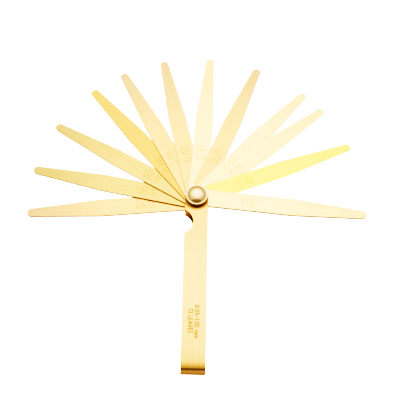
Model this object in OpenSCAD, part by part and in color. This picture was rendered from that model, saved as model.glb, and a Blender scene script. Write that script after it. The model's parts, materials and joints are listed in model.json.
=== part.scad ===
// Feeler gauge: thin brass leaves fanned out on one pivot, in a case folded from brass sheet.
// The gauge lies on its back plate. +Z runs along the pivot axis, out of the front plate, and the
// case points along -Y. The origin is on the pivot axis, at the outer face of the back plate.
// Lengths are in millimetres and angles in degrees.

/* [Case] */
// Thickness of the sheet that the case is folded from
sheet_t = 0.5; // [0.4:0.05:0.8]
// Width of the case
case_w = 12.4; // [12:0.1:14]
// Distance from the pivot axis to the outside of the fold
case_reach = 96.5; // [96:0.1:100]
// Radius of the thumb notch
notch_r = 7.2; // [6.5:0.1:8]
// How far the thumb notch cuts into the side of the case
notch_depth = 4.5; // [3:0.1:5]
// Distance from the pivot axis to the middle of the thumb notch, along the case
notch_drop = 15.0; // [14:0.1:20]

/* [Leaves] */
// Width of a leaf
leaf_w = 10; // [9:0.1:11]
// Distance from the pivot axis to the tip of a leaf
leaf_reach = 92.2; // [88:0.1:92.4]
// Distance from the pivot axis to the place where a leaf starts to taper
taper_start = 52.3; // [40:0.1:70]
// Radius of a leaf's tip
tip_r = 2.4; // [2:0.1:4]
// Air gap between one leaf and the next
leaf_gap = 0.02; // [0.01:0.01:0.04]

/* [Pivot] */
// Radius of the pivot screw's shank
shank_r = 2.5; // [2.2:0.1:3]
// Radius of the pivot screw's threaded end
thread_r = 2.0; // [1.5:0.1:2.1]
// Running clearance round the shank and the thread
run_clear = 0.05; // [0.03:0.01:0.08]
// Width of the screwdriver slot
slot_w = 1.0; // [0.8:0.1:1.2]
// Depth of the screwdriver slot
slot_depth = 0.6; // [0.4:0.1:0.7]

/* [Clamp nut] */
// Outer radius of the nut
nut_r = 6.0; // [5.6:0.1:6.2]
// Height of the nut's rim
rim_h = 2.0; // [1.7:0.1:2.4]
// Radius of the dome, where it meets the rim
dome_r = 5.1; // [4.5:0.1:5.1]
// Height of the dome
dome_h = 1.7; // [1.6:0.1:2.6]
// Width of the bevel along the rim's top edge
rim_bevel = 0.35; // [0.1:0.05:0.5]
// Number of grooves in the knurl
knurl_count = 48; // [36:1:54]
// Depth of a knurl groove
knurl_depth = 0.12; // [0.1:0.02:0.3]
// Height of the knurled band
knurl_h = 1.0; // [0.8:0.1:1.1]
// Thickness of the washer under the nut
washer_t = 0.3; // [0.2:0.1:0.5]
// Outer radius of the washer
washer_r = 5.4; // [5:0.1:5.5]

/* [Hidden] */
$fn = 96;
// Extra length of a cutting shape, past the face that it cuts
over = 0.5;
// How far the shank's shoulder stops short of the front plate's outer face
shoulder_gap = 0.1;
// How far the thread stands out of the front plate
thread_reach = 2.8;
// Chamfer at the end of the thread
thread_chamfer = 0.3;
// Room in the nut's bore, past the end of the thread
bore_room = 0.3;

// Each leaf from the back of the stack to the front: name, thickness, and the angle at which it
// is fanned out, counted from +X towards +Y. The thinnest leaf lies behind the thickest.
LEAVES = [
    ["leaf_0_90", 0.90, 186.0],
    ["leaf_0_80", 0.80, 169.6],
    ["leaf_0_70", 0.70, 151.0],
    ["leaf_0_60", 0.60, 131.9],
    ["leaf_0_50", 0.50, 119.1],
    ["leaf_0_40", 0.40, 103.4],
    ["leaf_0_30", 0.30, 86.1],
    ["leaf_0_25", 0.25, 68.1],
    ["leaf_0_20", 0.20, 48.3],
    ["leaf_0_15", 0.15, 39.1],
    ["leaf_0_10", 0.10, 21.8],
    ["leaf_0_05", 0.05, -5.3],
    ["leaf_1_00", 1.00, -5.3]
];
LEAF_COUNT = len(LEAVES);
function leaf_name(i) = LEAVES[i][0];
function leaf_t(i) = LEAVES[i][1];
function leaf_angle(i) = LEAVES[i][2];
// Height of the underside of leaf i
function leaf_z(i) = i == 0 ? sheet_t + leaf_gap : leaf_z(i - 1) + leaf_t(i - 1) + leaf_gap;

// Outer depth of the case, from the back plate's outer face to the front plate's
case_depth = leaf_z(LEAF_COUNT - 1) + leaf_t(LEAF_COUNT - 1) + leaf_gap + sheet_t;
notch_x = -case_w / 2 + notch_depth - notch_r;

// The screw's head is a flat cone that fills the countersink in the back plate. Its shoulder
// stops just short of the front plate's outer face, so that the nut grips the plate.
head_angle = 120;
head_r = shank_r + sheet_t * tan(head_angle / 2);
shoulder_z = case_depth - shoulder_gap;
thread_top = case_depth + thread_reach;

nut_z = case_depth + washer_t;
rim_top = nut_z + rim_h;
dome_sphere_r = (dome_r * dome_r + dome_h * dome_h) / (2 * dome_h);
knurl_z = nut_z + (rim_h - rim_bevel - knurl_h) / 2;
bore_top = thread_top + bore_room;

// Side view of a strip from x_start to x_end, centred on the mid-plane, with a full-round end
module fold_profile(x_start, x_end, depth) {
    round_x = x_end - depth / 2;
    translate([x_start, (case_depth - depth) / 2]) square([round_x - x_start, depth]);
    translate([round_x, case_depth / 2]) circle(depth / 2);
}

// Side view of the folded sheet: the outside less the inside
module case_side() {
    difference() {
        fold_profile(-case_w, case_reach, case_depth);
        fold_profile(-case_w - over, case_reach - sheet_t, case_depth - 2 * sheet_t);
    }
}

// Plan view of the case: a strip with a round end about the pivot axis
module case_plan() {
    circle(case_w / 2);
    translate([-case_w / 2, -case_reach - over]) square([case_w, case_reach + over]);
}

// The case: one strip folded round into a U, with a thumb notch and a pivot hole in both plates
module case_shell() {
    color("khaki") difference() {
        intersection() {
            rotate([90, 0, -90]) linear_extrude(case_w, center = true) case_side();
            linear_extrude(case_depth) case_plan();
        }
        translate([notch_x, -notch_drop, -over]) cylinder(r = notch_r, h = case_depth + 2 * over);
        cylinder(r1 = head_r, r2 = shank_r, h = sheet_t);
        translate([0, 0, case_depth - sheet_t - over])
            cylinder(r = shank_r + run_clear, h = sheet_t + 2 * over);
    }
}

// Plan view of a leaf along +X: parallel sides, then a straight taper that runs tangent into the
// round tip
module leaf_plan() {
    half_w = leaf_w / 2;
    tip_x = leaf_reach - tip_r;
    run = tip_x - taper_start;
    slope = acos(tip_r / norm([run, half_w])) - atan2(run, half_w);
    touch_x = tip_x + tip_r * sin(slope);
    touch_y = tip_r * cos(slope);
    difference() {
        union() {
            circle(half_w);
            translate([0, -half_w]) square([taper_start, leaf_w]);
            polygon([
                [taper_start, -half_w], [touch_x, -touch_y],
                [touch_x, touch_y], [taper_start, half_w]
            ]);
            translate([tip_x, 0]) circle(tip_r);
        }
        circle(shank_r + run_clear);
    }
}

module leaf(i) {
    color(i % 2 == 0 ? "wheat" : "moccasin")
        translate([0, 0, leaf_z(i)]) rotate([0, 0, leaf_angle(i)])
            linear_extrude(leaf_t(i)) leaf_plan();
}

// The pivot screw: countersunk slotted head, plain shank for the leaves, threaded end for the nut
module pivot_screw() {
    color("goldenrod") difference() {
        union() {
            cylinder(r1 = head_r, r2 = shank_r, h = sheet_t);
            translate([0, 0, sheet_t]) cylinder(r = shank_r, h = shoulder_z - sheet_t);
            translate([0, 0, shoulder_z])
                cylinder(r = thread_r, h = thread_top - thread_chamfer - shoulder_z);
            translate([0, 0, thread_top - thread_chamfer])
                cylinder(r1 = thread_r, r2 = thread_r - thread_chamfer, h = thread_chamfer);
        }
        translate([-head_r - over, -slot_w / 2, -over])
            cube([2 * (head_r + over), slot_w, slot_depth + over]);
    }
}

// The washer, which the nut carries up and down
module washer() {
    color("darkgoldenrod") translate([0, 0, case_depth]) difference() {
        cylinder(r = washer_r, h = washer_t);
        translate([0, 0, -over]) cylinder(r = thread_r + run_clear, h = washer_t + 2 * over);
    }
}

// The clamp nut: a knurled rim with a bevelled top edge, and a low dome that closes its bore
module clamp_nut() {
    color("gold") difference() {
        union() {
            translate([0, 0, nut_z]) cylinder(r = nut_r, h = rim_h - rim_bevel);
            translate([0, 0, rim_top - rim_bevel])
                cylinder(r1 = nut_r, r2 = nut_r - rim_bevel, h = rim_bevel);
            intersection() {
                translate([0, 0, rim_top + dome_h - dome_sphere_r]) sphere(dome_sphere_r);
                translate([0, 0, rim_top - over]) cylinder(r = dome_r, h = dome_h + 2 * over);
            }
        }
        for (i = [0:knurl_count - 1]) rotate([0, 0, i * 360 / knurl_count])
            translate([nut_r, 0, knurl_z]) rotate([0, 0, 45])
                linear_extrude(knurl_h) square(knurl_depth * sqrt(2), center = true);
        translate([0, 0, nut_z - over])
            cylinder(r = thread_r + run_clear, h = bore_top - nut_z + over);
    }
}

for (i = [0:LEAF_COUNT - 1]) leaf(i);
case_shell();  // case
pivot_screw();
washer();
clamp_nut();
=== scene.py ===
import json
import math

import bpy
from mathutils import Matrix, Vector
from mathutils.geometry import delaunay_2d_cdt


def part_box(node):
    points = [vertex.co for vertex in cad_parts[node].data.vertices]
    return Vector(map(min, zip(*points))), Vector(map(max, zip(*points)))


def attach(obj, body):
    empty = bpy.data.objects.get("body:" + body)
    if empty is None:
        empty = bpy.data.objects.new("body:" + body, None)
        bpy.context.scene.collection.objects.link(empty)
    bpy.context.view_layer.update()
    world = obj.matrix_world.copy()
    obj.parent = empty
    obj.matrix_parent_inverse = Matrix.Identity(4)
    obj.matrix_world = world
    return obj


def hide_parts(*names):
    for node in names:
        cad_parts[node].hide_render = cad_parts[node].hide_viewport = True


# The looks of a brass feeler gauge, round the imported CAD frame. Sizes are in millimetres until a
# mesh is made; Blender's own units are metres.

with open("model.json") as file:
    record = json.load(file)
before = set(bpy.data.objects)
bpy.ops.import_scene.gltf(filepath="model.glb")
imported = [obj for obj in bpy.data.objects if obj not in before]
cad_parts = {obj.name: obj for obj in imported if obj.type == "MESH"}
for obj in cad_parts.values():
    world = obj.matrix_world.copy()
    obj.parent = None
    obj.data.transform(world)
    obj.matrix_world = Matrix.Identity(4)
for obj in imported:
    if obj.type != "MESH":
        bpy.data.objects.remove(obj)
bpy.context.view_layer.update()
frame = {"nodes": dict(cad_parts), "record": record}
record = frame["record"]

MM = 0.001
# Two points closer than this are one
SAME_POINT = 1e-6


def mm(value):
    return value / MM


def joint_of(name):
    return next(j for j in record["behaviour"]["joints"] if j["name"] == name)


# ---------------------------------------------------------------- camera

CAMERA_TILT = math.radians(26.0)
CAMERA_ROLL = math.radians(2.49)
CAMERA_TURN = math.radians(-1.19)
CAMERA_REACH = 449.3
CAMERA_AIM = (-1.827, 0.420)
CAMERA_LENS = 74.16
CAMERA_CLIP = (0.01, 100)
SENSOR = 36.0

case_low, case_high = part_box("case")
mid_z = mm(case_low.z + case_high.z) / 2


def make_camera():
    """A camera tilted from straight above towards the fold of the case."""
    turn = Matrix.Rotation(CAMERA_TURN, 3, "Z")
    level = Vector((0, math.cos(CAMERA_TILT), math.sin(CAMERA_TILT)))
    side = Vector((1, 0, 0))
    back = turn @ Vector((0, -math.sin(CAMERA_TILT), math.cos(CAMERA_TILT)))
    right = turn @ (math.cos(CAMERA_ROLL) * side + math.sin(CAMERA_ROLL) * level)
    up = turn @ (math.cos(CAMERA_ROLL) * level - math.sin(CAMERA_ROLL) * side)
    place = Vector((0, 0, mid_z)) - CAMERA_AIM[0] * right - CAMERA_AIM[1] * up
    place += CAMERA_REACH * back
    data = bpy.data.cameras.new("camera")
    data.lens = CAMERA_LENS
    data.sensor_width = SENSOR
    data.clip_start, data.clip_end = CAMERA_CLIP
    camera = bpy.data.objects.new("camera", data)
    bpy.context.scene.collection.objects.link(camera)
    axes = Matrix((right, up, back)).transposed().to_4x4()
    camera.matrix_world = Matrix.Translation(place * MM) @ axes
    bpy.context.scene.camera = camera


# ---------------------------------------------------------------- node helpers

# How far each unit of seed moves a pattern along each axis
SEED_STEP = (17.3, 5.71, 2.37)


def put(socket, value):
    if isinstance(value, bpy.types.NodeSocket):
        socket.id_data.links.new(value, socket)
    else:
        socket.default_value = value


def math_node(tree, operation, *values):
    node = tree.nodes.new("ShaderNodeMath")
    node.operation = operation
    for socket, value in zip(node.inputs, values):
        put(socket, value)
    return node.outputs[0]


def blend_range(tree, value, start, end, low=0.0, high=1.0):
    """A smooth step from low to high as value goes from start to end."""
    node = tree.nodes.new("ShaderNodeMapRange")
    node.interpolation_type = "SMOOTHSTEP"
    for socket, item in zip(node.inputs, (value, start, end, low, high)):
        put(socket, item)
    return node.outputs[0]


def mix_color(tree, factor, first, second, mode="MIX"):
    node = tree.nodes.new("ShaderNodeMix")
    node.data_type = "RGBA"
    node.blend_type = mode
    put(node.inputs[0], factor)
    put(node.inputs[6], first)
    put(node.inputs[7], second)
    return node.outputs[2]


def stretched(tree, vector, scale, seed=0.0):
    """The vector times scale, moved along by seed so that two pieces never share a pattern."""
    node = tree.nodes.new("ShaderNodeMapping")
    put(node.inputs["Vector"], vector)
    node.inputs["Scale"].default_value = scale
    node.inputs["Location"].default_value = [seed * step for step in SEED_STEP]
    return node.outputs[0]


def noise(tree, vector, detail, roughness=0.5):
    node = tree.nodes.new("ShaderNodeTexNoise")
    put(node.inputs["Vector"], vector)
    node.inputs["Scale"].default_value = 1.0
    node.inputs["Detail"].default_value = detail
    node.inputs["Roughness"].default_value = roughness
    return node.outputs[0]


def rgba(color):
    return (*color, 1.0)


# ---------------------------------------------------------------- stage, light and tone

# What the camera sees of the world, and how bright the studio is for everything else
WHITE = (2.5, 2.5, 2.5)
STUDIO_LIGHT = 1.35
# The softbox's half width, and how fast its glow falls off past that, in degrees
SOFTBOX_HALF = 22
SOFTBOX_FALL = 43
SOFTBOX_EDGE = 60
SOFTBOX_STEP = 6
SOFTBOX_TILT = math.radians(28)
# The dark opening: its light, how far forward its middle is and its half sizes, in degrees, and
# how square it is. Its edge is soft between the two levels.
DARK_LIGHT = (0.33, 0.33, 0.33)
DARK_CENTRE = 38
DARK_HALF = (17, 31)
DARK_POWER = 4.0
DARK_EDGE = (2.2, 0.35)
FLOOR_HALF = 4.0
FLOOR_DROP = 0.05 * MM
FLOOR_COLORS = ((0.60, 0.59, 0.57), (0.66, 0.65, 0.63))
FLOOR_GRAIN = (300, 300, 300)
FLOOR_GLOW = 1.9
# The tone curve: each channel's black and white level, and the curve between them
TONE_BLACK = (0.0, 0.0, 0.097)
TONE_WHITE = (1.6, 1.98, 1.915)
TONE_TOP = 1.6
TONE_POWER = 3.0
TONE_KNEE = 0.0819
TONE_GAIN = 1.035
TONE_STEPS = (0.08, 0.12, 0.16, 0.2, 0.25, 0.3, 0.35, 0.4, 0.5, 0.6, 0.7, 0.85, 1.0, 1.2, 1.4)
# Which of the four curves works on all three channels
COMBINED_CURVE = 3


def ramp(tree, value, stops, low, high):
    """The level at value, by straight lines between (value, level) stops."""
    node = tree.nodes.new("ShaderNodeValToRGB")
    span = math_node(tree, "SUBTRACT", value, low)
    put(node.inputs[0], math_node(tree, "DIVIDE", span, high - low))
    elements = node.color_ramp.elements
    while len(elements) < len(stops):
        elements.new(0.5)
    for element, (place, level) in zip(elements, stops):
        element.position = (place - low) / (high - low)
        element.color = (level, level, level, 1)
    return node.outputs[0]


def make_world():
    """A studio: a broad softbox above and behind, pale walls, and a dark opening in front."""
    world = bpy.data.worlds.new("studio")
    bpy.context.scene.world = world
    world.use_nodes = True
    tree = world.node_tree
    tree.nodes.clear()
    direction = tree.nodes.new("ShaderNodeTexCoord").outputs["Generated"]
    split = tree.nodes.new("ShaderNodeSeparateXYZ")
    put(split.inputs[0], direction)
    x, y, z = split.outputs
    front = math_node(tree, "MULTIPLY", y, -1.0)
    forward = math_node(tree, "DEGREES", math_node(tree, "ARCTAN2", front, z))
    aside = math_node(tree, "ABSOLUTE", math_node(tree, "ARCSINE", x))
    sideways = math_node(tree, "DEGREES", aside)
    aim = tree.nodes.new("ShaderNodeVectorMath")
    aim.operation = "DOT_PRODUCT"
    put(aim.inputs[0], direction)
    aim.inputs[1].default_value = (0.0, math.sin(SOFTBOX_TILT), math.cos(SOFTBOX_TILT))
    away = math_node(tree, "DEGREES", math_node(tree, "ARCCOSINE", aim.outputs["Value"]))
    glow = [(0, 1.0)] + [(a, math.exp((SOFTBOX_HALF - a) / SOFTBOX_FALL))
                         for a in range(SOFTBOX_HALF, SOFTBOX_EDGE, SOFTBOX_STEP)]
    light = math_node(tree, "MULTIPLY", ramp(tree, away, glow, 0, 180), STUDIO_LIGHT)
    ahead = math_node(tree, "ABSOLUTE", math_node(tree, "SUBTRACT", forward, DARK_CENTRE))
    a, b = (math_node(tree, "POWER", math_node(tree, "DIVIDE", angle, half), DARK_POWER)
            for angle, half in zip((ahead, sideways), DARK_HALF))
    dark = blend_range(tree, math_node(tree, "ADD", a, b), *DARK_EDGE)
    grey = tree.nodes.new("ShaderNodeCombineColor")
    for socket in grey.inputs[:3]:
        put(socket, light)
    seen = tree.nodes.new("ShaderNodeLightPath").outputs["Is Camera Ray"]
    light = mix_color(tree, dark, grey.outputs[0], rgba(DARK_LIGHT))
    light = mix_color(tree, seen, light, rgba(WHITE))
    background = tree.nodes.new("ShaderNodeBackground")
    put(background.inputs["Color"], light)
    output = tree.nodes.new("ShaderNodeOutputWorld")
    put(output.inputs["Surface"], background.outputs[0])


def make_floor():
    mesh = bpy.data.meshes.new("floor")
    corners = [(-1, -1), (1, -1), (1, 1), (-1, 1)]
    verts = [(x * FLOOR_HALF, y * FLOOR_HALF, -FLOOR_DROP) for x, y in corners]
    mesh.from_pydata(verts, [], [(0, 1, 2, 3)])
    floor = bpy.data.objects.new("floor", mesh)
    bpy.context.scene.collection.objects.link(floor)
    material = bpy.data.materials.new("pale_floor")
    material.use_nodes = True
    tree = material.node_tree
    tree.nodes.clear()
    coords = tree.nodes.new("ShaderNodeTexCoord").outputs["Object"]
    paper = noise(tree, stretched(tree, coords, FLOOR_GRAIN), 4)
    diffuse = tree.nodes.new("ShaderNodeBsdfDiffuse")
    put(diffuse.inputs["Color"], mix_color(tree, paper, *(rgba(c) for c in FLOOR_COLORS)))
    glow = tree.nodes.new("ShaderNodeEmission")
    seen = tree.nodes.new("ShaderNodeLightPath").outputs["Is Camera Ray"]
    put(glow.inputs["Strength"], math_node(tree, "MULTIPLY", seen, FLOOR_GLOW))
    both = tree.nodes.new("ShaderNodeAddShader")
    put(both.inputs[0], diffuse.outputs[0])
    put(both.inputs[1], glow.outputs[0])
    output = tree.nodes.new("ShaderNodeOutputMaterial")
    put(output.inputs["Surface"], both.outputs[0])
    mesh.materials.append(material)


def make_tone():
    """Bright, contrasty product-picture tones, from a curve on the plain view."""
    settings = bpy.context.scene.view_settings
    settings.view_transform = "Standard"
    settings.look = "None"
    settings.exposure = 0
    settings.gamma = 1
    settings.use_curve_mapping = True
    mapping = settings.curve_mapping
    mapping.black_level = TONE_BLACK
    mapping.white_level = TONE_WHITE
    mapping.extend = "HORIZONTAL"
    points = mapping.curves[COMBINED_CURVE].points
    for x in TONE_STEPS:
        steep = x ** TONE_POWER
        points.new(x / TONE_TOP, TONE_GAIN * steep / (steep + TONE_KNEE))
    for point in points:
        point.handle_type = "AUTO_CLAMPED"
    mapping.update()


# ---------------------------------------------------------------- materials

# Brass's layers of noise: scale along and across the grain, detail and roughness. The streaks'
# scale is a share of the grain's.
FINE_NOISE = (5, 0.65)
STREAK_SCALE, STREAK_NOISE = (0.6, 0.28), (5, 0.75)
CLOUD_SCALE, CLOUD_NOISE = (0.05, 0.09, 1), (4, 0.6)
SPOT_SCALE, SPOT_NOISE = (0.55, 0.6, 1), (6, 0.7)
# How much darker and lighter than its colour the metal gets, and the tint of tarnish
DARKER = (0.10, 0.14, 0.24)
LIGHTER = (0.03, 0.05, 0.12)
TARNISH = (0.72, 0.60, 0.42)
# Where each layer starts and ends, and how much it colours or roughens the metal
FINE_SHADE, FINE_ROUGH = (0.25, 0.75, 0.0, 0.35), (0.2, 0.8)
CLOUD_SHADE, CLOUD_ROUGH = (0.50, 0.80, 0.0, 0.35), (0.45, 0.80, 0.0, 0.10)
SPOT_SHADE, SPOT_ROUGH = (0.66, 0.80, 0.0, 0.5), (0.62, 0.80, 0.0, 0.15)
STREAK_SHADE = (0.25, 0.75)
ROUGH_SPREAD = (-0.05, 0.07)
FINE_HEIGHT, STREAK_HEIGHT = 0.6, 0.9
BUMP_STRENGTH, BUMP_DEPTH = 0.6, 0.008 * MM
ANISOTROPY, ANISOTROPY_TURN = 0.35, 0.25
# The range, along the grain, of the ramp of painted shade
PAINTED_SHADE_RANGE = (-10, 220)
# An engraved mark's floor
PIT_SCALE, PIT_NOISE = (3.0, 3.0, 1), (5, 0.7)
PIT_TINT = (0.88, 0.84, 0.76)
PIT_SHADE, PIT_ROUGH = (0.3, 0.7), (0.2, 0.8)
PIT_ROUGHER = 0.2
PIT_STRENGTH, PIT_DEPTH = 0.7, 0.02 * MM


def new_material(name):
    material = bpy.data.materials.new(name)
    material.use_nodes = True
    tree = material.node_tree
    tree.nodes.clear()
    shader = tree.nodes.new("ShaderNodeBsdfPrincipled")
    output = tree.nodes.new("ShaderNodeOutputMaterial")
    put(output.inputs["Surface"], shader.outputs[0])
    return material, tree, shader


def brass(name, color, rough, seed, grain, bump=1.0, depth=1.0, painted_shade=None, ring=None):
    """Brushed brass. The grain layer holds millimetres along and across the grain, and grain is
    the scale of the noise along them. painted_shade is (stops, tint): the stops, in millimetres
    along the grain, say how much the tint darkens it as painted shade. ring is (start, end,
    tint): a painted shadow round the origin, out to between start and end."""
    material, tree, shader = new_material(name)
    uv = tree.nodes.new("ShaderNodeUVMap")
    uv.uv_map = "grain"
    along = uv.outputs[0]
    fine = noise(tree, stretched(tree, along, (*grain, 1), seed), *FINE_NOISE)
    streak_scale = [g * k for g, k in zip(grain, STREAK_SCALE)]
    streak = noise(tree, stretched(tree, along, (*streak_scale, 1), seed + 1), *STREAK_NOISE)
    cloud = noise(tree, stretched(tree, along, CLOUD_SCALE, seed + 2), *CLOUD_NOISE)
    spots = noise(tree, stretched(tree, along, SPOT_SCALE, seed + 3), *SPOT_NOISE)
    dark = [c * (1 - k * depth) for c, k in zip(color, DARKER)]
    light = [min(1.0, c * (1 + k * depth)) for c, k in zip(color, LIGHTER)]
    shade = mix_color(tree, blend_range(tree, streak, *STREAK_SHADE), rgba(dark), rgba(light))
    shade = mix_color(tree, blend_range(tree, fine, *FINE_SHADE), shade, rgba(dark))
    shade = mix_color(tree, blend_range(tree, cloud, *CLOUD_SHADE), shade, rgba(dark))
    tarnish = rgba(shaded(color, TARNISH))
    shade = mix_color(tree, blend_range(tree, spots, *SPOT_SHADE), shade, tarnish)
    # Painted shade: the tint darkens the brass along the grain as the stops say
    if painted_shade:
        stops, tint = painted_shade
        split = tree.nodes.new("ShaderNodeSeparateXYZ")
        put(split.inputs[0], along)
        far = mix_color(tree, 1.0, shade, rgba(tint), "MULTIPLY")
        shade = mix_color(tree, ramp(tree, split.outputs[0], stops, *PAINTED_SHADE_RANGE), shade, far)
    # Painted shadow: the tint darkens the brass round the origin
    if ring:
        start, end, tint = ring
        reach = tree.nodes.new("ShaderNodeVectorMath")
        reach.operation = "LENGTH"
        put(reach.inputs[0], along)
        ring_shadow = mix_color(tree, 1.0, shade, rgba(tint), "MULTIPLY")
        clear = blend_range(tree, reach.outputs["Value"], start, end)
        shade = mix_color(tree, clear, ring_shadow, shade)
    put(shader.inputs["Base Color"], shade)
    shader.inputs["Metallic"].default_value = 1.0
    worn = blend_range(tree, fine, *FINE_ROUGH, *(rough + k for k in ROUGH_SPREAD))
    dull = math_node(tree, "ADD", worn, blend_range(tree, cloud, *CLOUD_ROUGH))
    dull = math_node(tree, "ADD", dull, blend_range(tree, spots, *SPOT_ROUGH))
    put(shader.inputs["Roughness"], dull)
    height = math_node(tree, "ADD", math_node(tree, "MULTIPLY", fine, FINE_HEIGHT),
                       math_node(tree, "MULTIPLY", streak, STREAK_HEIGHT))
    ridge = tree.nodes.new("ShaderNodeBump")
    ridge.inputs["Strength"].default_value = BUMP_STRENGTH * bump
    ridge.inputs["Distance"].default_value = BUMP_DEPTH
    put(ridge.inputs["Height"], height)
    put(shader.inputs["Normal"], ridge.outputs[0])
    shader.inputs["Anisotropic"].default_value = ANISOTROPY
    shader.inputs["Anisotropic Rotation"].default_value = ANISOTROPY_TURN
    tangent = tree.nodes.new("ShaderNodeTangent")
    tangent.direction_type = "UV_MAP"
    tangent.uv_map = "grain"
    put(shader.inputs["Tangent"], tangent.outputs[0])
    return material


def shaded(color, tint):
    return tuple(c * t for c, t in zip(color, tint))


def etched(name, color, seed, rough=0.45):
    """The dull, darker floor of an engraved mark."""
    material, tree, shader = new_material(name)
    uv = tree.nodes.new("ShaderNodeUVMap")
    uv.uv_map = "grain"
    pits = noise(tree, stretched(tree, uv.outputs[0], PIT_SCALE, seed), *PIT_NOISE)
    put(shader.inputs["Base Color"], mix_color(
        tree, blend_range(tree, pits, *PIT_SHADE), rgba(shaded(color, PIT_TINT)), rgba(color)))
    shader.inputs["Metallic"].default_value = 1.0
    put(shader.inputs["Roughness"], blend_range(tree, pits, *PIT_ROUGH, rough, rough + PIT_ROUGHER))
    ridge = tree.nodes.new("ShaderNodeBump")
    ridge.inputs["Strength"].default_value = PIT_STRENGTH
    ridge.inputs["Distance"].default_value = PIT_DEPTH
    put(ridge.inputs["Height"], pits)
    put(shader.inputs["Normal"], ridge.outputs[0])
    return material


# ---------------------------------------------------------------- engraved characters


def arc(cx, cy, rx, ry, start, end, steps=14):
    angles = [math.radians(start + (end - start) * i / steps) for i in range(steps + 1)]
    return [(cx + rx * math.cos(a), cy + ry * math.sin(a)) for a in angles]


def bow(a, b, c, steps=8):
    """A curve from a to c, pulled towards b."""
    ts = [i / steps for i in range(steps + 1)]
    return [tuple((1 - t) ** 2 * p + 2 * t * (1 - t) * q + t * t * r for p, q, r in zip(a, b, c))
            for t in ts]


SIX = [arc(0.27, 0.29, 0.27, 0.29, 0, 360, 20), bow((0.44, 1.0), (0.02, 0.80), (0.0, 0.30))]
# Each character: its width, and its strokes on a grid where a capital is 1 high
CHARACTERS = {
    "0": (0.46, [arc(0.23, 0.77, 0.23, 0.23, 0, 180, 10) + arc(0.23, 0.23, 0.23, 0.23, 180, 360, 10)
                 + [(0.46, 0.77)]]),
    "1": (0.22, [[(0.0, 0.78), (0.20, 1.0)], [(0.20, 1.0), (0.20, 0.0)]]),
    "2": (0.52, [arc(0.26, 0.72, 0.26, 0.28, 165, -38) + [(0.0, 0.0)], [(0.0, 0.0), (0.52, 0.0)]]),
    "3": (0.52, [arc(0.25, 0.76, 0.23, 0.24, 150, -90), arc(0.25, 0.26, 0.27, 0.26, 90, -150)]),
    "4": (0.56, [[(0.42, 0.0), (0.42, 1.0)], [(0.42, 1.0), (0.0, 0.30)],
                 [(0.0, 0.30), (0.56, 0.30)]]),
    "5": (0.52, [[(0.46, 1.0), (0.08, 1.0)], [(0.08, 1.0), (0.04, 0.56)],
                 arc(0.25, 0.32, 0.27, 0.32, 130, -145)]),
    "6": (0.54, SIX),
    "7": (0.52, [[(0.0, 1.0), (0.52, 1.0)], [(0.52, 1.0), (0.16, 0.0)]]),
    "8": (0.54, [arc(0.27, 0.76, 0.22, 0.24, 0, 360, 20), arc(0.27, 0.26, 0.27, 0.26, 0, 360, 20)]),
    "9": (0.54, [[(0.54 - x, 1.0 - y) for x, y in stroke] for stroke in SIX]),
    ".": (0.08, [[(0.03, 0.02), (0.05, 0.02)]]),
    "-": (0.34, [[(0.0, 0.45), (0.34, 0.45)]]),
    " ": (0.34, []),
    "m": (0.72, [[(0.0, 0.0), (0.0, 0.64)], arc(0.18, 0.42, 0.18, 0.22, 180, 0) + [(0.36, 0.0)],
                 arc(0.54, 0.42, 0.18, 0.22, 180, 0) + [(0.72, 0.0)]]),
    "L": (0.44, [[(0.0, 1.0), (0.0, 0.0)], [(0.0, 0.0), (0.44, 0.0)]]),
    "E": (0.46, [[(0.0, 1.0), (0.0, 0.0)], [(0.0, 0.0), (0.46, 0.0)], [(0.0, 0.52), (0.38, 0.52)],
                 [(0.0, 1.0), (0.46, 1.0)]]),
    "A": (0.60, [[(0.0, 0.0), (0.30, 1.0)], [(0.30, 1.0), (0.60, 0.0)],
                 [(0.10, 0.32), (0.50, 0.32)]]),
    "V": (0.60, [[(0.0, 1.0), (0.30, 0.0)], [(0.30, 0.0), (0.60, 1.0)]]),
    "S": (0.50, [arc(0.25, 0.75, 0.24, 0.25, 35, 270) + arc(0.25, 0.25, 0.25, 0.25, 90, -145)[1:]]),
}


def ribbon(stroke, half):
    """A stroke as small convex polygons: one for each step, and a round one at each open end."""
    closed = math.dist(stroke[0], stroke[-1]) < SAME_POINT
    line = stroke[:-1] if closed else stroke
    count = len(line)
    sides = []
    for i, (x, y) in enumerate(line):
        before = line[i - 1] if i or closed else line[i]
        after = line[(i + 1) % count] if i < count - 1 or closed else line[i]
        along = Vector((after[0] - before[0], after[1] - before[1])).normalized() * half
        sides.append(((x - along.y, y + along.x), (x + along.y, y - along.x)))
    steps = range(count if closed else count - 1)
    out = [[*sides[i], *reversed(sides[(i + 1) % count])] for i in steps]
    if not closed:
        for x, y in (line[0], line[-1]):
            out.append(arc(x, y, half, half, 0, 360, 10)[:-1])
    return out


def lettering(text, height, stroke, gap):
    """The text as polygons, centred on the origin and reading along the first axis. The gap
    between characters is a share of the height."""
    width = sum(CHARACTERS[c][0] for c in text) + gap * (len(text) - 1)
    x, out = -width / 2, []
    for c in text:
        advance, strokes = CHARACTERS[c]
        for s in strokes:
            line = [((px + x) * height, (py - 0.5) * height) for px, py in s]
            out += ribbon(line, stroke / 2)
        x += advance + gap
    return out


# ---------------------------------------------------------------- sheet metal


def inset(loop, amount):
    """The loop moved to its left, which is into the metal for an outline and for a hole."""
    out = []
    for i, (x, y) in enumerate(loop):
        before, after = loop[i - 1], loop[(i + 1) % len(loop)]
        a = Vector((x - before[0], y - before[1])).normalized()
        b = Vector((after[0] - x, after[1] - y)).normalized()
        normal = Vector((-a.y - b.y, a.x + b.x)).normalized()
        reach = amount / max(0.5, normal.dot(Vector((-a.y, a.x))))
        out.append((x + normal.x * reach, y + normal.y * reach))
    return out


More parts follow.
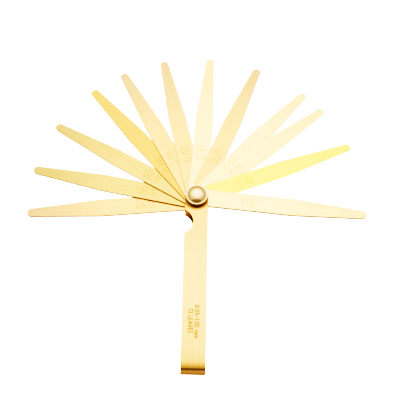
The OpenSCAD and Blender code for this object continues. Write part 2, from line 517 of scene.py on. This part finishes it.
def rounded_edge(half_t, radius, steps=3):
    """The edge of a sheet from its top face round to its bottom face, as (inset, height)."""
    turn = [math.radians(90 * i / steps) for i in range(steps + 1)]
    top = [(radius * (1 - math.sin(a)), half_t - radius * (1 - math.cos(a))) for a in turn]
    return top + [(i, -h) for i, h in reversed(top)]


def fill(loops, marks=(), lines=()):
    """Triangles over the area inside the first loop and outside the others.
    Returns points, triangles, which triangles are marked, and where each loop's points went."""
    points, faces, starts = [], [], []
    for loop in loops:
        starts.append(len(points))
        faces.append(list(range(len(points), len(points) + len(loop))))
        points += loop
    if starts[1:]:
        faces[1:] = [f[::-1] for f in faces[1:]]
    plain = len(faces)
    for mark in marks:
        area = sum(a[0] * b[1] - b[0] * a[1] for a, b in zip(mark, mark[1:] + mark[:1]))
        faces.append(list(range(len(points), len(points) + len(mark)))[::1 if area > 0 else -1])
        points += mark
    found = delaunay_2d_cdt([Vector(p) for p in points], list(lines), faces, 0, SAME_POINT)
    new_points, _, new_faces, from_points, _, from_faces = found
    triangles, marked = [], []
    for face, sources in zip(new_faces, from_faces):
        if 0 in sources and not any(0 < s < plain for s in sources):
            triangles.append(tuple(face))
            marked.append(any(s >= plain for s in sources))
    went = {}
    for new, olds in enumerate(from_points):
        for old in olds:
            went[old] = new
    where = [[went[start + i] for i in range(len(loop))] for start, loop in zip(starts, loops)]
    return [tuple(p) for p in new_points], triangles, marked, where


# The kinds of polygon in a sheet, and the places of its materials
TOP, BOTTOM, EDGE, MARK_FLOOR, MARK_WALL = range(5)
ON_FACE, ON_MARK, ON_EDGE, ON_INSIDE = range(4)


def sheet_metal(name, loops, place, marks, mark_depth, lines=(), under=ON_FACE):
    """A sheet with rounded edges and engraved marks. loops are (points, edge) pairs, the outline
    first; place turns (along, across, height) into a point of the object; lines join points that
    the mesh must have an edge between; under is the bottom face's material."""
    spots, polygons, kinds = [], [], []

    def spot(u, v, n):
        spots.append((u, v, n))
        return len(spots) - 1

    rings = []
    for points, edge in loops:
        rings.append([[spot(u, v, n) for u, v in inset(points, step)] for step, n in edge])
    for levels in rings:
        for upper, lower in zip(levels, levels[1:]):
            for i in range(len(upper)):
                j = (i + 1) % len(upper)
                polygons.append((upper[j], upper[i], lower[i], lower[j]))
                kinds.append(EDGE)
    for side, kind in ((0, TOP), (-1, BOTTOM)):
        outlines = [[spots[i][:2] for i in levels[side]] for levels in rings]
        height = loops[0][1][side][1]
        top = kind == TOP
        points, triangles, marked, where = fill(outlines, marks if top else (), lines)
        index = {}
        for levels, places in zip(rings, where):
            for old, new in zip(levels[side], places):
                index[new] = old
        for i, (u, v) in enumerate(points):
            if i not in index:
                index[i] = spot(u, v, height)
        border = dict.fromkeys(
            side for triangle, cut in zip(triangles, marked) if cut
            for side in zip(triangle, triangle[1:] + triangle[:1]))
        low = {}
        for triangle, cut in zip(triangles, marked):
            if cut:
                for i in triangle:
                    if i not in low:
                        low[i] = spot(*points[i], height - mark_depth)
                polygons.append(tuple(low[i] for i in triangle))
                kinds.append(MARK_FLOOR)
            else:
                corners = tuple(index[i] for i in triangle)
                polygons.append(corners if top else corners[::-1])
                kinds.append(kind)
        for a, b in border:
            if (b, a) not in border:
                polygons.append((index[a], index[b], low[b], low[a])[::-1])
                kinds.append(MARK_WALL)
    used = sorted({i for p in polygons for i in p})
    short = {i: k for k, i in enumerate(used)}
    polygons = [tuple(short[i] for i in p) for p in polygons]
    spots = [spots[i] for i in used]
    mesh = bpy.data.meshes.new(name)
    mesh.from_pydata([place(*s) * MM for s in spots], [], polygons)
    layer = mesh.uv_layers.new(name="grain")
    for loop in mesh.loops:
        u, v, n = spots[loop.vertex_index]
        layer.data[loop.index].uv = (u, v + n)
    touching = {}
    for polygon, kind in zip(mesh.polygons, kinds):
        polygon.use_smooth = True
        polygon.material_index = {
            TOP: ON_FACE, BOTTOM: under, EDGE: ON_EDGE, MARK_FLOOR: ON_MARK, MARK_WALL: ON_MARK}[kind]
        for key in polygon.edge_keys:
            touching.setdefault(key, set()).add(kind)
    for edge in mesh.edges:
        edge.use_edge_sharp = len(touching[tuple(sorted(edge.vertices))]) > 1
    mesh.update()
    return mesh


def add_piece(name, mesh, body, replaces, materials, matrix=None):
    piece = bpy.data.objects.new(name, mesh)
    bpy.context.scene.collection.objects.link(piece)
    for material in materials:
        mesh.materials.append(material)
    if matrix is not None:
        piece.matrix_world = matrix
    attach(piece, body)
    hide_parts(replaces)


# ---------------------------------------------------------------- leaves

LEAF_HALF_W = 5.0
LEAF_REACH = 92.2
TAPER_START = 52.3
TIP_R = 2.4
PIVOT_HOLE_R = 2.55
NUMBER_PLACE = 28.4
NUMBER_HEIGHT = 4.2
NUMBER_STROKE = 0.38
NUMBER_GAP = 0.20
# The radius of a sheet's edges and the depth of its marks, and the most of a leaf's thickness
# that each may take
EDGE_R, EDGE_SHARE = 0.10, 0.3
MARK_DEPTH, MARK_SHARE = 0.03, 0.25

# Roughness, grain, bump and depth of shading, for the leaves' faces and for every sheet's edges
LEAF_POLISH = (0.20, (0.04, 5.5), 0.35, 0.35)
EDGE_POLISH = (0.26, (0.3, 2.0), 0.6, 0.8)
# Painted shade on the leaves' edge walls: darkened to stand for the shadow in the gaps between
# overlapping leaves
LEAF_EDGE_SHADE = (0.66, 0.76, 0.95)
LEAF_MARK_TINT, LEAF_MARK_ROUGH = (0.97, 0.95, 0.90), 0.28
# How much of a leaf's painted shade shows at each distance from the pivot: it darkens towards
# the tip, where the softbox's reflection falls off
LEAF_TIP_SHADE = [(38, 0.0), (50, 0.14), (65, 0.5), (80, 0.86), (92, 1.0)]
# Finishes of leaf brass: the colour near the pivot, and the tint of painted shade towards the tip
GOLDEN = ((0.95, 0.70, 0.45), (0.70, 0.80, 0.90))
DULL = ((0.80, 0.65, 0.40), (0.70, 0.80, 0.85))
WARM = ((0.85, 0.60, 0.35), (0.85, 0.95, 0.95))
PALE = ((0.95, 0.85, 0.55), (0.95, 0.90, 0.90))
LEMON = ((0.95, 0.85, 0.40), (0.95, 0.95, 0.95))
# The leaves that aren't golden
LEAF_FINISH = {
    "leaf_0_80": DULL,
    "leaf_0_70": DULL,
    "leaf_0_60": WARM,
    "leaf_0_30": PALE,
    "leaf_0_20": PALE,
    "leaf_0_15": PALE,
    "leaf_0_10": LEMON,
    "leaf_1_00": PALE,
}


def leaf_outline():
    """A leaf seen from above, along +X, anticlockwise."""
    tip_x = LEAF_REACH - TIP_R
    run = tip_x - TAPER_START
    slope = math.acos(TIP_R / math.hypot(run, LEAF_HALF_W)) - math.atan2(run, LEAF_HALF_W)
    turn = 90 - math.degrees(slope)
    heel = arc(0, 0, LEAF_HALF_W, LEAF_HALF_W, 90, 270, 40)
    low_side = [(TAPER_START * k / 6, -LEAF_HALF_W) for k in range(1, 7)]
    tip = arc(tip_x, 0, TIP_R, TIP_R, -turn, turn, 28)
    high_side = [(x, -y) for x, y in reversed(low_side)]
    return heel + low_side + tip + high_side


def circle(x, y, r, steps=64):
    """A hole's rim, clockwise."""
    return arc(x, y, r, r, 360, 0, steps)[:-1]


def make_leaves():
    names = sorted(n for n in frame["nodes"] if n.startswith("leaf_"))
    for seed, name in enumerate(names):
        low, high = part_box(name)
        thick = mm(high.z - low.z)
        angle = math.radians(270 - joint_of(name + "_swing")["range_deg"][1])
        edge = rounded_edge(thick / 2, min(EDGE_R, thick * EDGE_SHARE))
        text = name.removeprefix("leaf_").replace("_", ".")
        number = [[(u + NUMBER_PLACE, v) for u, v in p]
                  for p in lettering(text, NUMBER_HEIGHT, NUMBER_STROKE, NUMBER_GAP)]
        mesh = sheet_metal(
            name + "_look", [(leaf_outline(), edge), (circle(0, 0, PIVOT_HOLE_R), edge)],
            lambda u, v, n: Vector((u, v, n)), number, min(MARK_DEPTH, thick * MARK_SHARE))
        # tint is the leaf's painted shade towards the tip
        color, tint = LEAF_FINISH.get(name, GOLDEN)
        rough, *polish = LEAF_POLISH
        edge_rough, *edge_polish = EDGE_POLISH
        materials = [
            brass(name + "_brass", color, rough, seed * 1.7, *polish, (LEAF_TIP_SHADE, tint)),
            etched(name + "_etched", shaded(color, LEAF_MARK_TINT), seed * 0.9, LEAF_MARK_ROUGH),
            # The edge walls' colour is darkened: painted shade for the gaps between leaves
            brass(name + "_edge", shaded(color, LEAF_EDGE_SHADE), edge_rough, seed * 1.3,
                  *edge_polish)]
        place = Matrix.Translation((0, 0, (low.z + high.z) / 2)) @ Matrix.Rotation(angle, 4, "Z")
        add_piece(name + "_look", mesh, name, name, materials, place)


# ---------------------------------------------------------------- case

CASE_COLOR = (0.90, 0.71, 0.465)
# Painted shade: how much the case's shade tint darkens it at each distance along the sheet from
# the front plate's pivot hole; most across the fold, where the sheet turns away from the light
CASE_PAINTED_SHADE = [(4, 0.15), (24, 0.12), (34, 0.0), (56, 0.0), (72, 0.09), (84, 0.17), (88.6, 0.28),
             (90.3, 0.38), (91.6, 0.58), (92.6, 0.95), (93.4, 1.0), (94.4, 0.75), (95.0, 0.25),
             (95.8, 0.0)]
CASE_PAINTED_SHADE_TINT = (0.55, 0.56, 0.50)
# Each of these is roughness, seed, grain, bump and depth of shading; the painted shadow round the
# pivot is where it starts and ends, and its tint: it stands for the nut's shadow and its dark
# reflection on the plate
CASE_POLISH = (0.16, 31.0, (0.03, 5.0), 0.35, 0.25)
INSIDE_COLOR, INSIDE_POLISH = (0.92, 0.78, 0.54), (0.24, 35.0, (0.03, 4.0), 0.5, 0.6)
CASE_NUT_SHADOW = (7.0, 8.6, (0.52, 0.50, 0.42))
# Painted shade on the case's edge walls, darker than its face
CASE_EDGE_SHADE, CASE_EDGE_SEED = (0.70, 0.80, 0.95), 33.0
CASE_MARK_COLOR, CASE_MARK_SEED = (0.40, 0.28, 0.14), 5.0
CASE_MARK_DEPTH = 0.05
LETTER_HEIGHT, LETTER_STROKE = 2.2, 0.27
# The case's lines of text: the text, its middle along and across the case, and its gap
CASE_TEXT = (("0.05-1.00 mm", 70.3, 1.45, 0.26), ("13 LEAVES", 70.1, -1.75, 0.20))
# The small bevels at the two ends of the screw's countersink
SEAT_BEVEL = 0.02
CASE_HALF_W = 6.2
SHEET_T = 0.5
# Where the fold starts, how square it is, and how finely it is drawn and cut
BEND_START = 90.0
BEND_POWER = 4.6
BEND_STEPS = 2000
BEND_ROWS = 72
# Where the case's straight sides have points
SIDE_ROWS = [27 + 10 * i for i in range(6)]
NOTCH_STEPS = 48
NOTCH_R = 7.2
NOTCH_X = -8.9
NOTCH_DROP = 15.0
HEAD_R = 3.366
SHANK_R = 2.5
case_reach = -mm(case_low.y)
case_depth = mm(case_high.z)
plate_z = case_depth - SHEET_T / 2
bend_out = case_reach - SHEET_T / 2 - BEND_START
bend_up = plate_z - mid_z


def bend_path():
    """The sheet's mid-line round the fold: distance along it, y, z, and the outward normal."""
    line = []
    for i in range(BEND_STEPS + 1):
        a = math.pi * i / BEND_STEPS
        u = bend_out * math.sin(a) ** (2 / BEND_POWER) if 0 < i < BEND_STEPS else 0.0
        line.append((-BEND_START - u, mid_z + bend_up * math.cos(a)))
    out, run = [], 0.0
    for i, (y, z) in enumerate(line):
        if i:
            run += math.dist(line[i - 1], line[i])
        before, after = line[max(0, i - 1)], line[min(BEND_STEPS, i + 1)]
        along = Vector((after[0] - before[0], after[1] - before[1])).normalized()
        out.append((run, y, z, along.y, -along.x))
    first, last = out[0], out[-1]
    out[0] = (*first[:3], 0.0, 1.0)
    out[-1] = (*last[:3], 0.0, -1.0)
    return out


BEND = bend_path()
BEND_LENGTH = BEND[-1][0]
BLANK_LENGTH = 2 * BEND_START + BEND_LENGTH


def fold(s, x, n):
    """Puts a point of the flat blank where the folded case has it. s runs from the front plate's
    pivot hole round the fold to the back plate's; n is the height above the mid-line."""
    if s <= BEND_START:
        return Vector((x, -s, plate_z + n))
    if s >= BEND_START + BEND_LENGTH:
        return Vector((x, s - BLANK_LENGTH, case_depth - plate_z - n))
    run = s - BEND_START
    low, high = 0, len(BEND) - 1
    while high - low > 1:
        middle = (low + high) // 2
        if BEND[middle][0] <= run:
            low = middle
        else:
            high = middle
    a, b = BEND[low], BEND[high]
    t = (run - a[0]) / (b[0] - a[0])
    y, z, ny, nz = (p + (q - p) * t for p, q in zip(a[1:], b[1:]))
    size = math.hypot(ny, nz)
    return Vector((x, y + n * ny / size, z + n * nz / size))


def case_blank():
    """The flat blank's outline, anticlockwise in (s, x), and its lines across the bend."""
    bend = [BEND_START + BEND_LENGTH * i / BEND_ROWS for i in range(BEND_ROWS + 1)]
    half = math.degrees(math.asin(math.sqrt(NOTCH_R ** 2 - (NOTCH_X + CASE_HALF_W) ** 2) / NOTCH_R))
    turns = [math.radians(-half + 2 * half * i / NOTCH_STEPS) for i in range(NOTCH_STEPS + 1)]
    low = []
    for middle, front in ((NOTCH_DROP, True), (BLANK_LENGTH - NOTCH_DROP, False)):
        notch = [(middle + NOTCH_R * math.sin(a), NOTCH_X + NOTCH_R * math.cos(a)) for a in turns]
        plain = [(s if front else BLANK_LENGTH - s, -CASE_HALF_W) for s in SIDE_ROWS]
        low += notch + plain if front else plain[::-1] + notch
        if front:
            low += [(s, -CASE_HALF_W) for s in bend]
    front_end = arc(0, 0, CASE_HALF_W, CASE_HALF_W, 90, 270, 60)
    back_end = arc(BLANK_LENGTH, 0, CASE_HALF_W, CASE_HALF_W, -90, 90, 60)
    high = [(s, CASE_HALF_W) for s in
            [BLANK_LENGTH - s for s in SIDE_ROWS] + bend[::-1] + SIDE_ROWS[::-1]]
    outline = front_end + low + back_end + high
    at = {}
    for i, (s, x) in enumerate(outline):
        at[(round(s, 4), x > 0)] = i
    lines = [(at[(round(s, 4), False)], at[(round(s, 4), True)]) for s in bend]
    return outline, lines


def make_case():
    outline, lines = case_blank()
    half = SHEET_T / 2
    edge = rounded_edge(half, EDGE_R)
    sink = HEAD_R - SHANK_R
    head_seat = [(-sink, half), (SEAT_BEVEL - sink, half - SEAT_BEVEL),
                 (-SEAT_BEVEL, SEAT_BEVEL - half), (0.0, -half)]
    marks = []
    for text, s, x, gap in CASE_TEXT:
        marks += [[(u + s, v + x) for u, v in p]
                  for p in lettering(text, LETTER_HEIGHT, LETTER_STROKE, gap)]
    loops = [(outline, edge), (circle(0, 0, PIVOT_HOLE_R), edge),
             (circle(BLANK_LENGTH, 0, SHANK_R), head_seat)]
    mesh = sheet_metal("case_look", loops, fold, marks, CASE_MARK_DEPTH, lines, ON_INSIDE)
    edge_rough, *edge_polish = EDGE_POLISH
    # The case's brass has painted shade across the fold and a painted shadow round the nut; its edges
    # have painted shade
    materials = [
        brass("case_brass", CASE_COLOR, *CASE_POLISH, (CASE_PAINTED_SHADE, CASE_PAINTED_SHADE_TINT), CASE_NUT_SHADOW),
        etched("case_etched", CASE_MARK_COLOR, CASE_MARK_SEED),
        brass("case_edge", shaded(CASE_COLOR, CASE_EDGE_SHADE), edge_rough, CASE_EDGE_SEED,
              *edge_polish),
        brass("case_inside", INSIDE_COLOR, *INSIDE_POLISH)]
    add_piece("case_look", mesh, "case_and_pivot", "case", materials)


# ---------------------------------------------------------------- turned pieces

# Two faces that meet at more than this have a sharp edge
SHARP = math.radians(32)
# How many millimetres of grain go round a turned piece
TURN_GRAIN = 30.0


def lathe(name, profile, steps, knurl=None):
    """A closed solid turned about the pivot axis. profile runs from axis to axis, or round a
    closed loop for a ring, as (radius, height), anticlockwise with the radius to the right."""
    closed = profile[0][0] > 0
    verts, faces, uvs = [], [], []
    length, lengths = 0.0, []
    for i, p in enumerate(profile):
        if i:
            length += math.dist(profile[i - 1], p)
        lengths.append(length)
    rows = []
    for (r, z), run in zip(profile, lengths):
        if r == 0:
            verts.append(Vector((0, 0, z)) * MM)
            rows.append([len(verts) - 1] * steps)
            continue
        row = []
        for k in range(steps):
            a = 2 * math.pi * k / steps
            cut = knurl(r, z, a) if knurl else 0.0
            verts.append(Vector(((r - cut) * math.cos(a), (r - cut) * math.sin(a), z)) * MM)
            row.append(len(verts) - 1)
        rows.append(row)
    pairs = list(zip(range(len(rows)), range(1, len(rows))))
    if closed:
        pairs.append((len(rows) - 1, 0))
    for i, j in pairs:
        start, end = lengths[i], lengths[j] if j else length
        for k in range(steps):
            m = (k + 1) % steps
            face = [rows[i][k], rows[i][m], rows[j][m], rows[j][k]]
            runs = [start, start, end, end]
            turns = [k, k + 1, k + 1, k]
            keep = [c for c in range(4) if face[c] != face[c - 1]]
            faces.append([face[c] for c in keep])
            uvs.append([(turns[c] / steps * TURN_GRAIN, runs[c]) for c in keep])
    mesh = bpy.data.meshes.new(name)
    mesh.from_pydata(verts, [], faces)
    layer = mesh.uv_layers.new(name="grain")
    for polygon, corners in zip(mesh.polygons, uvs):
        for loop, uv in zip(polygon.loop_indices, corners):
            layer.data[loop].uv = uv
    mesh.shade_smooth()
    mesh.set_sharp_from_angle(angle=SHARP)
    return mesh


def corner(r, z, radius, start, end, steps=5):
    return arc(r, z, radius, radius, start, end, steps)


NUT_R = 6.0
DOME_R = 5.1
DOME_H = 1.7
BORE_ROOM = 0.3
RIM_H = 2.0
BORE_R = 2.05
THREAD_R = 2.0
KNURL_COUNT = 48
KNURL_DEPTH = 0.12
# The knurled band: its lowest and highest point above the nut's base, its rows, and how far a
# groove takes to reach full depth
KNURL_BAND = (0.32, 1.32)
KNURL_ROWS = 10
KNURL_ENDS = 0.12
DOME_ROWS = 20
# The bevel at the bore's mouth and end, the groove round the dome, and the rim's rounded edges
MOUTH_BEVEL, BORE_BEVEL = 0.2, 0.1
GROOVE_W, GROOVE_DEPTH, GROOVE_EDGE = 0.12, 0.22, 0.05
RIM_LOW_R, RIM_TOP_R = 0.22, 0.25
# The knurled metal is outside this ring and below this line under the rim's top
KNURL_METAL_IN, KNURL_METAL_DROP = 0.5, 0.30
NUT_COLOR, NUT_POLISH = (0.87, 0.81, 0.63), (0.12, 47.0, (0.02, 3.0), 0.3, 0.6)
KNURL_COLOR, KNURL_POLISH = (0.93, 0.78, 0.54), (0.24, 43.0, (0.6, 0.6), 0.6, 1.0)


def make_nut():
    base = mm(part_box("clamp_nut")[0].z)
    rim = base + RIM_H
    top = rim + DOME_H
    bore = mm(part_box("pivot_screw")[1].z) + BORE_ROOM
    ball = (DOME_R ** 2 + DOME_H ** 2) / (2 * DOME_H)
    middle = top - ball
    edge = math.degrees(math.asin((DOME_R - GROOVE_W) / ball))
    turns = [math.radians(edge * (1 - i / DOME_ROWS)) for i in range(DOME_ROWS)]
    dome = [(ball * math.sin(a), middle + ball * math.cos(a)) for a in turns] + [(0.0, top)]
    band_low, band_high = (base + h for h in KNURL_BAND)

    def knurl(r, z, angle):
        if r < NUT_R - 0.05:
            return 0.0
        inside = min(z - band_low, band_high - z) + 0.02
        ends = min(1.0, max(0.0, inside / KNURL_ENDS))
        wave = abs((angle * KNURL_COUNT / (2 * math.pi)) % 1 * 2 - 1)
        return KNURL_DEPTH * ends * (1 - wave)

    profile = [(0.0, bore), (BORE_R - BORE_BEVEL, bore), (BORE_R, bore - BORE_BEVEL)]
    profile += [(BORE_R, base + MOUTH_BEVEL), (BORE_R + MOUTH_BEVEL, base), (NUT_R - 0.30, base)]
    profile += corner(NUT_R - RIM_LOW_R, base + RIM_LOW_R, RIM_LOW_R, -75, 0)
    profile += [(NUT_R, band_low + 0.1 * i) for i in range(KNURL_ROWS + 1)]
    profile += corner(NUT_R - RIM_TOP_R, rim - RIM_TOP_R, RIM_TOP_R, 0, 90, 8)
    profile += [(DOME_R + 0.22, rim)]
    profile += corner(DOME_R + 0.17, rim - GROOVE_EDGE, GROOVE_EDGE, 90, 180, 3)
    profile += [(DOME_R + 0.09, rim - GROOVE_DEPTH), (DOME_R - 0.02, rim - GROOVE_DEPTH)]
    profile += dome
    mesh = lathe("clamp_nut_look", profile, KNURL_COUNT * 8, knurl)
    for polygon in mesh.polygons:
        outer = mm(polygon.center.xy.length) > NUT_R - KNURL_METAL_IN
        polygon.material_index = int(outer and mm(polygon.center.z) < rim - KNURL_METAL_DROP)
    materials = [brass("nut_brass", NUT_COLOR, *NUT_POLISH),
                 brass("knurl_brass", KNURL_COLOR, *KNURL_POLISH)]
    add_piece("clamp_nut_look", mesh, "clamp_nut", "clamp_nut", materials)


WASHER_COLOR, WASHER_POLISH = (0.82, 0.58, 0.20), (0.26, 53.0, (0.05, 2.0))


def make_washer():
    low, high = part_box("washer")
    base, top, r = mm(low.z), mm(high.z), mm(high.x)
    profile = [(BORE_R + 0.06, base), (r - 0.10, base)]
    profile += corner(r - 0.08, base + 0.08, 0.08, -70, 0, 4)
    profile += corner(r - 0.06, top - 0.06, 0.06, 0, 70, 4) + [(r - 0.10, top)]
    profile += [(BORE_R + 0.12, top), (BORE_R + 0.03, top - 0.07), (BORE_R, base + 0.06)]
    mesh = lathe("washer_look", profile, 128)
    materials = [brass("washer_brass", WASHER_COLOR, *WASHER_POLISH)]
    add_piece("washer_look", mesh, "washer", "washer", materials)


SHOULDER_GAP = 0.1
PITCH, ROOT_R = 0.7, 1.66
# The thread is a stack of rings, one for each pitch. How high up each the crest starts and ends
CREST = (0.30, 0.40)
SLOT_HALF, SLOT_DEPTH, SLOT_FLARE, SLOT_CORNER = 0.5, 0.6, 0.06, 0.1
# How far the slot's cutting shape runs past the head, below it and at its sides
CUT_BELOW, CUT_PAST = 0.2, 1
SCREW_COLOR, SCREW_POLISH = (0.84, 0.62, 0.26), (0.20, 61.0, (0.02, 3.0), 0.6)


def make_screw():
    top = mm(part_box("pivot_screw")[1].z)
    shoulder = case_depth - SHOULDER_GAP
    profile = [(0.0, 0.0), (HEAD_R - 0.10, 0.0), (HEAD_R - 0.03, 0.04), (SHANK_R, SHEET_T)]
    profile += [(SHANK_R, shoulder - 0.05), (SHANK_R - 0.05, shoulder), (ROOT_R, shoulder)]
    z = shoulder + 0.1
    while z + PITCH < top - 0.3:
        profile += [(ROOT_R, z), *((THREAD_R, z + h) for h in CREST), (ROOT_R, z + PITCH)]
        z += PITCH
    profile += [(ROOT_R, top - 0.05), (ROOT_R - 0.2, top), (0.0, top)]
    mesh = lathe("pivot_screw_look", profile, 96)
    screw = bpy.data.objects.new("pivot_screw_look", mesh)
    bpy.context.scene.collection.objects.link(screw)
    cutter_mesh = bpy.data.meshes.new("slot_cutter")
    wide = HEAD_R + CUT_PAST
    side = [(SLOT_HALF - SLOT_CORNER, SLOT_DEPTH), (SLOT_HALF, SLOT_DEPTH - SLOT_CORNER),
            (SLOT_HALF, SLOT_FLARE), (SLOT_HALF + SLOT_FLARE, 0.0),
            (SLOT_HALF + SLOT_FLARE + CUT_BELOW, -CUT_BELOW)]
    section = [(-y, z) for y, z in reversed(side)] + side
    count = len(section)
    verts = [Vector((x, y, z)) * MM for x in (-wide, wide) for y, z in section]
    faces = [list(range(count)), list(range(2 * count - 1, count - 1, -1))]
    faces += [[i, i + count, (i + 1) % count + count, (i + 1) % count] for i in range(count)]
    cutter_mesh.from_pydata(verts, [], faces)
    cutter = bpy.data.objects.new("slot_cutter", cutter_mesh)
    bpy.context.scene.collection.objects.link(cutter)
    cut = screw.modifiers.new("slot", "BOOLEAN")
    cut.object = cutter
    cut.operation = "DIFFERENCE"
    cut.solver = "EXACT"
    bpy.context.view_layer.update()
    graph = bpy.context.evaluated_depsgraph_get()
    done = bpy.data.meshes.new_from_object(screw.evaluated_get(graph))
    screw.modifiers.clear()
    bpy.data.objects.remove(screw)
    bpy.data.objects.remove(cutter)
    bpy.data.meshes.remove(cutter_mesh)
    done.name = "pivot_screw_look"
    done.set_sharp_from_angle(angle=SHARP)
    materials = [brass("screw_brass", SCREW_COLOR, *SCREW_POLISH)]
    add_piece("pivot_screw_look", done, "case_and_pivot", "pivot_screw", materials)


make_camera()
make_world()
make_floor()
make_tone()
make_leaves()
make_case()
make_nut()
make_washer()
make_screw()
